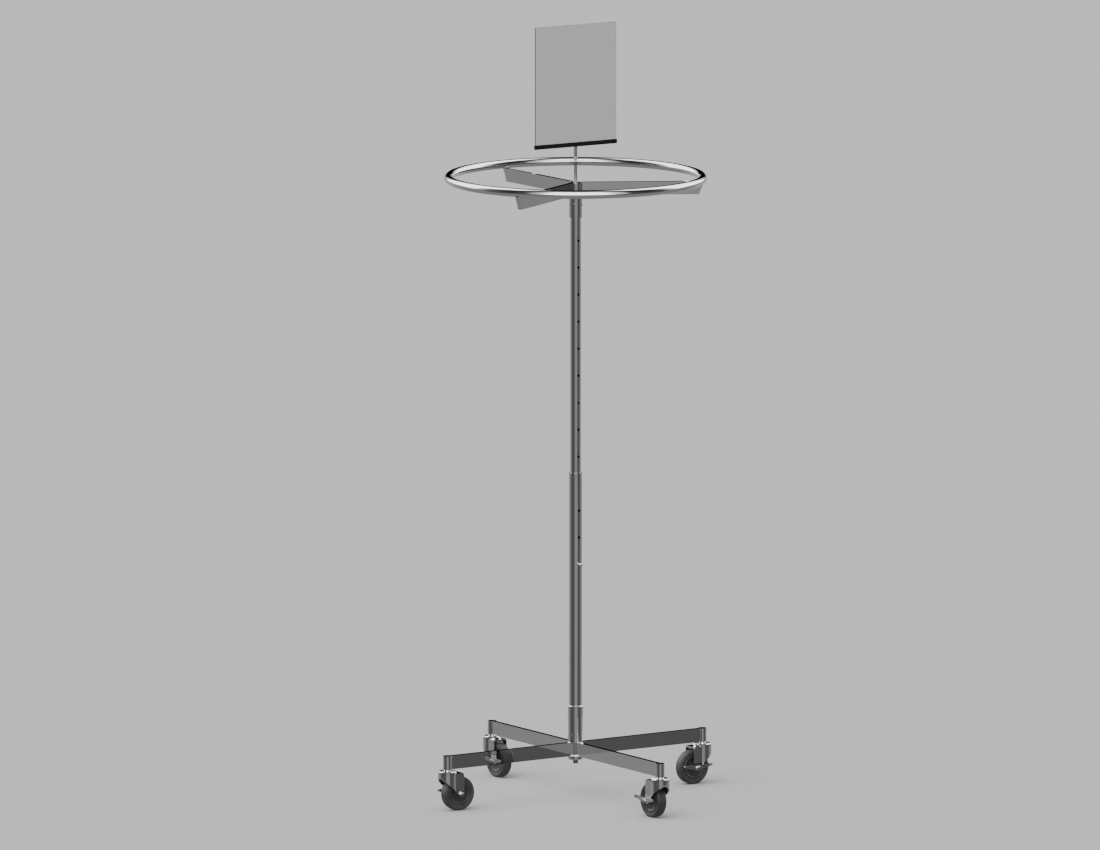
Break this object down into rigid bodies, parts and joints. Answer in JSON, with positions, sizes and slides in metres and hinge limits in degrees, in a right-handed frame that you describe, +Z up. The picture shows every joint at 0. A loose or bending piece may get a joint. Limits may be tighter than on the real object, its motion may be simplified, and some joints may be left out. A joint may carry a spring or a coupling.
{
  "type": "round garment rack",
  "caption": "Round garment rack: a chrome hanging ring on a height-adjustable post, crossed base on locking swivel casters, and a sign holder on top.",
  "frame": {"origin": "on the floor, on the axis of the post", "axes": "+Z up along the post; -Y is the front, where the height pin's long end and the sign's face point; +X along the sign's width and along one base arm"},
  "size_m": [0.9432, 0.9432, 2.265],
  "materials": {
    "chrome_bar": "bright chrome plating on flat bar-shaped tube",
    "chrome_tube": "bright chrome plating on round tube",
    "caster_plate": "bright plated pressed steel",
    "zinc_hardware": "bright zinc-plated fasteners",
    "bearing_ball": "polished hardened steel",
    "black_plastic": "moulded black nylon",
    "black_channel": "black extruded channel with a soft sheen",
    "clear_acrylic": "clear acrylic sheet with polished edges",
    "black_rubber": "hard black rubber tread",
    "black_wheel_plastic": "moulded black wheel centre"
  },
  "bodies": {
    "base": {"base_core": "chrome_bar", "base_arm_1": "chrome_bar", "base_arm_2": "chrome_bar", "base_arm_3": "chrome_bar", "base_arm_4": "chrome_bar", "stem_sockets": "chrome_bar", "stem_bushings": "black_plastic", "base_sleeve": "chrome_tube", "base_boss": "chrome_tube", "base_bolt_washer": "zinc_hardware", "base_bolt": "zinc_hardware", "post_plug": "black_plastic", "lower_tube": "chrome_tube", "guide_bushing": "black_plastic", "caster_stem_1": "caster_plate", "caster_stem_2": "caster_plate", "caster_stem_3": "caster_plate", "caster_stem_4": "caster_plate"},
    "mast": {"upper_tube": "chrome_tube", "tube_foot": "black_plastic", "hub_sleeve": "chrome_tube", "set_screws": "zinc_hardware", "ring_arm_1": "chrome_bar", "ring_arm_2": "chrome_bar", "ring_arm_3": "chrome_bar", "hanging_ring": "chrome_tube", "sign_socket": "black_plastic"},
    "height_pin": {"height_pin": "chrome_tube"},
    "sign_stem": {"sign_stem": "chrome_tube"},
    "sign_frame": {"sign_channel": "black_channel"},
    "sign_panel": {"sign_panel": "clear_acrylic"},
    "caster_1": {"fork_1": "caster_plate", "race_balls_1": "bearing_ball", "axle_bolt_1": "zinc_hardware", "axle_nut_1": "zinc_hardware"},
    "wheel_1": {"tyre_1": "black_rubber", "wheel_core_1": "black_wheel_plastic"},
    "brake_1": {"brake_lever_1": "caster_plate"},
    "caster_2": {"fork_2": "caster_plate", "race_balls_2": "bearing_ball", "axle_bolt_2": "zinc_hardware", "axle_nut_2": "zinc_hardware"},
    "wheel_2": {"tyre_2": "black_rubber", "wheel_core_2": "black_wheel_plastic"},
    "brake_2": {"brake_lever_2": "caster_plate"},
    "caster_3": {"fork_3": "caster_plate", "race_balls_3": "bearing_ball", "axle_bolt_3": "zinc_hardware", "axle_nut_3": "zinc_hardware"},
    "wheel_3": {"tyre_3": "black_rubber", "wheel_core_3": "black_wheel_plastic"},
    "brake_3": {"brake_lever_3": "caster_plate"},
    "caster_4": {"fork_4": "caster_plate", "race_balls_4": "bearing_ball", "axle_bolt_4": "zinc_hardware", "axle_nut_4": "zinc_hardware"},
    "wheel_4": {"tyre_4": "black_rubber", "wheel_core_4": "black_wheel_plastic"},
    "brake_4": {"brake_lever_4": "caster_plate"}
  },
  "joints": [
    {"name": "height_slide", "type": "slide", "parent": "base", "child": "mast", "axis": [0, 0, 1], "range_m": [-0.4752, 0]},
    {"name": "pin_slide", "type": "slide", "parent": "base", "child": "height_pin", "axis": [0, -1, 0], "range_m": [0, 0.06]},
    {"name": "sign_lift", "type": "slide", "parent": "mast", "child": "sign_stem", "axis": [0, 0, 1], "range_m": [0, 0.025]},
    {"name": "sign_swivel", "type": "hinge", "parent": "sign_stem", "child": "sign_frame", "pos_m": [0, 0, 1.91], "axis": [0, 0, 1], "continuous": true},
    {"name": "panel_slide", "type": "slide", "parent": "sign_frame", "child": "sign_panel", "axis": [1, 0, 0], "range_m": [-0.12, 0.12]},
    {"name": "caster_swivel_1", "type": "hinge", "parent": "base", "child": "caster_1", "pos_m": [-0.4446, 0, 0.1], "axis": [0, 0, 1], "continuous": true},
    {"name": "wheel_spin_1", "type": "hinge", "parent": "caster_1", "child": "wheel_1", "pos_m": [-0.4091, 0, 0.05], "axis": [0, 1, 0], "continuous": true},
    {"name": "brake_tilt_1", "type": "hinge", "parent": "caster_1", "child": "brake_1", "pos_m": [-0.4091, 0, 0.05], "axis": [0, 1, 0], "range_deg": [-14, 14]},
    {"name": "caster_swivel_2", "type": "hinge", "parent": "base", "child": "caster_2", "pos_m": [0, -0.4446, 0.1], "axis": [0, 0, 1], "continuous": true},
    {"name": "wheel_spin_2", "type": "hinge", "parent": "caster_2", "child": "wheel_2", "pos_m": [0, -0.4091, 0.05], "axis": [-1, 0, 0], "continuous": true},
    {"name": "brake_tilt_2", "type": "hinge", "parent": "caster_2", "child": "brake_2", "pos_m": [0, -0.4091, 0.05], "axis": [-1, 0, 0], "range_deg": [-14, 14]},
    {"name": "caster_swivel_3", "type": "hinge", "parent": "base", "child": "caster_3", "pos_m": [0.4446, 0, 0.1], "axis": [0, 0, 1], "continuous": true},
    {"name": "wheel_spin_3", "type": "hinge", "parent": "caster_3", "child": "wheel_3", "pos_m": [0.4091, 0, 0.05], "axis": [0, -1, 0], "continuous": true},
    {"name": "brake_tilt_3", "type": "hinge", "parent": "caster_3", "child": "brake_3", "pos_m": [0.4091, 0, 0.05], "axis": [0, -1, 0], "range_deg": [-14, 14]},
    {"name": "caster_swivel_4", "type": "hinge", "parent": "base", "child": "caster_4", "pos_m": [0, 0.4446, 0.1], "axis": [0, 0, 1], "continuous": true},
    {"name": "wheel_spin_4", "type": "hinge", "parent": "caster_4", "child": "wheel_4", "pos_m": [0, 0.4091, 0.05], "axis": [1, 0, 0], "continuous": true},
    {"name": "brake_tilt_4", "type": "hinge", "parent": "caster_4", "child": "brake_4", "pos_m": [0, 0.4091, 0.05], "axis": [1, 0, 0], "range_deg": [-14, 14]}
  ]
}
